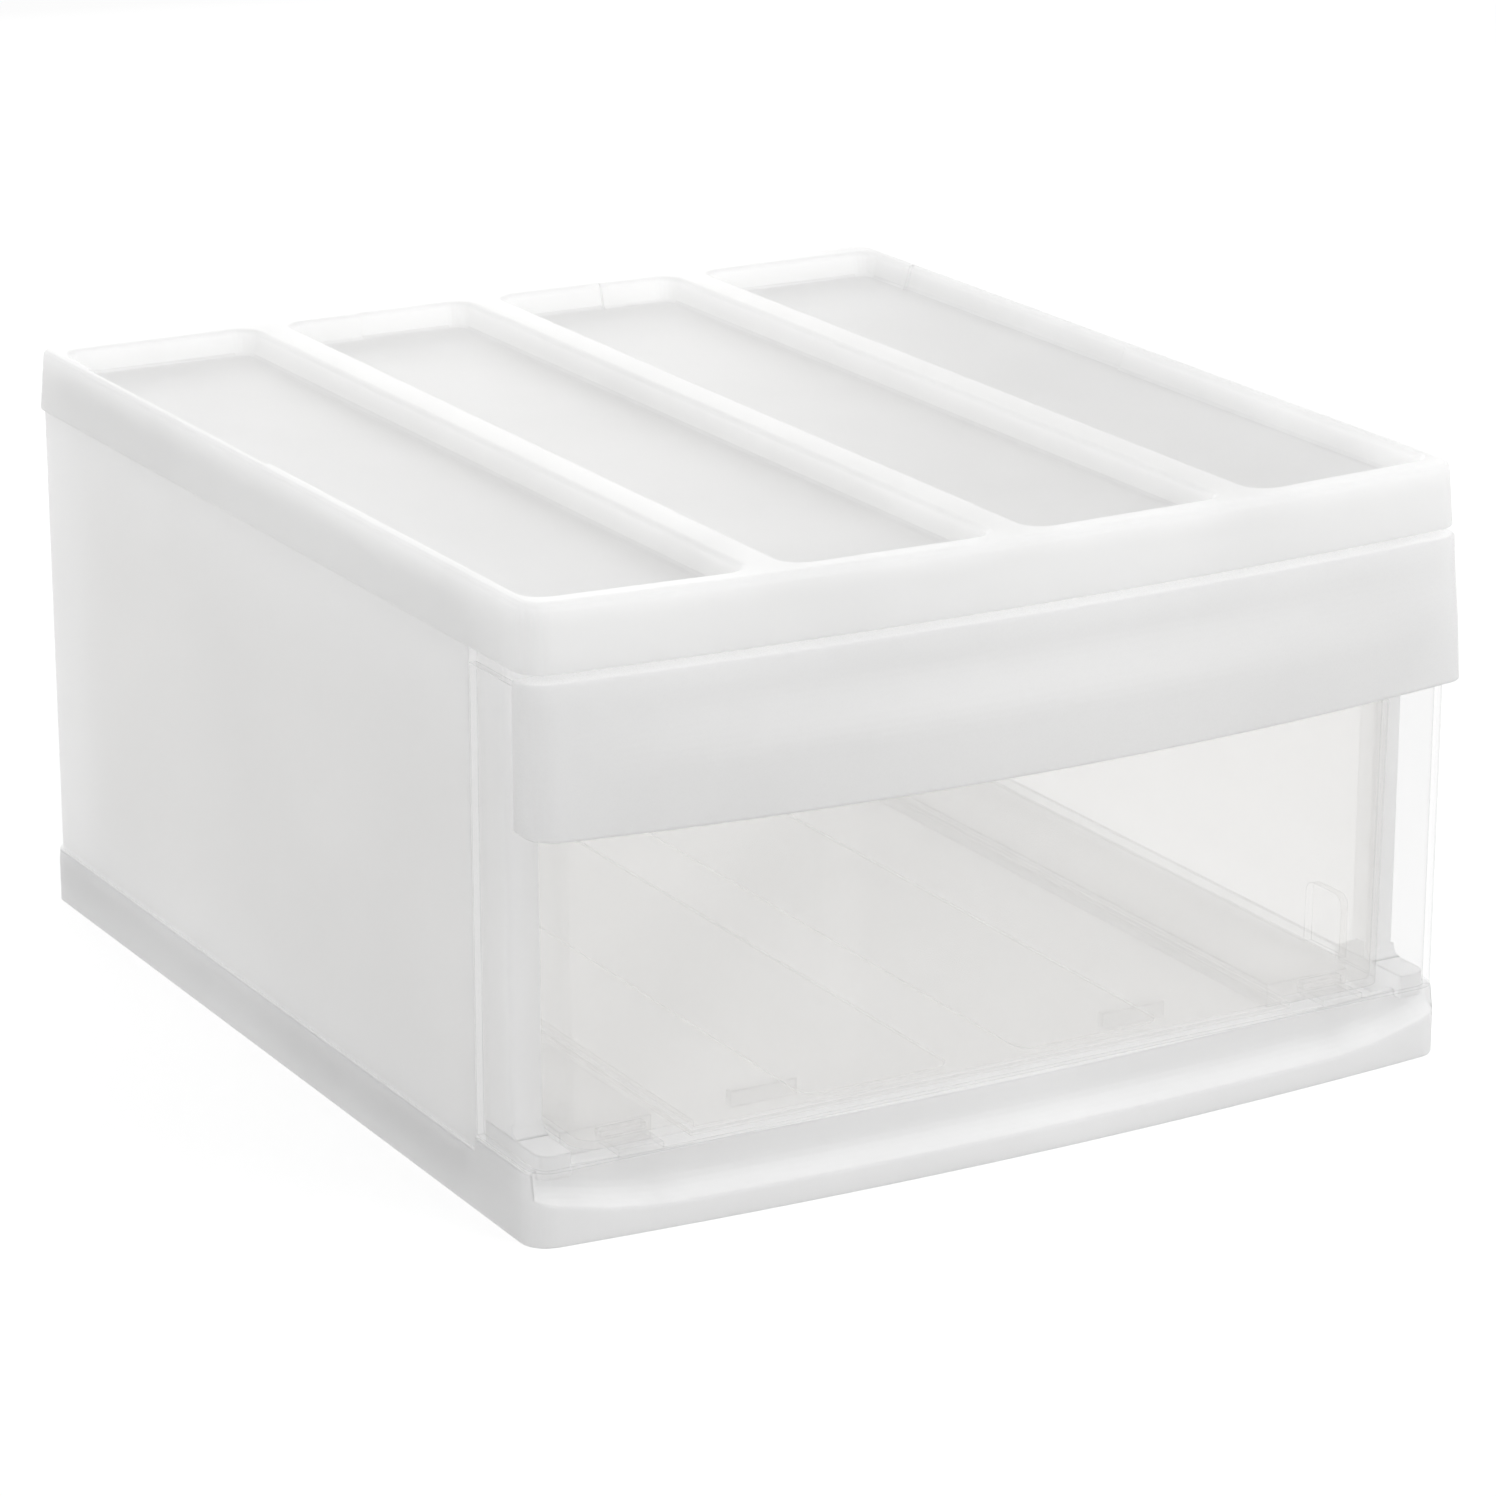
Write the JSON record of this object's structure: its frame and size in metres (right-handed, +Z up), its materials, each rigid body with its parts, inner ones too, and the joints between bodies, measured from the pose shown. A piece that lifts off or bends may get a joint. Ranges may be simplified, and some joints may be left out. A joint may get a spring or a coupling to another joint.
{
  "type": "stackable drawer box",
  "caption": "Stackable storage box with frosted housing, pocketed top and one clear pull-out drawer with a full-width handle band.",
  "frame": {"origin": "middle of the bounding box's bottom face, on the surface the box stands on", "axes": "+X along the drawer front from left to right as seen from the front, +Y from the drawer front to the back panel, +Z up; the drawer pulls out towards -Y"},
  "size_m": [0.34, 0.395, 0.203],
  "materials": {
    "frosted_plastic": "satin, milky and translucent",
    "clear_plastic": "glossy, transparent"
  },
  "bodies": {
    "housing": {"top_cover": "frosted_plastic", "base_frame": "frosted_plastic", "left_side_panel": "frosted_plastic", "right_side_panel": "frosted_plastic", "back_panel": "frosted_plastic"},
    "drawer": {"drawer_tray": "clear_plastic", "drawer_front": "clear_plastic", "handle_band": "frosted_plastic"}
  },
  "joints": [
    {"name": "drawer_slide", "type": "slide", "parent": "housing", "child": "drawer", "axis": [0, -1, 0], "range_m": [0, 0.3]}
  ]
}
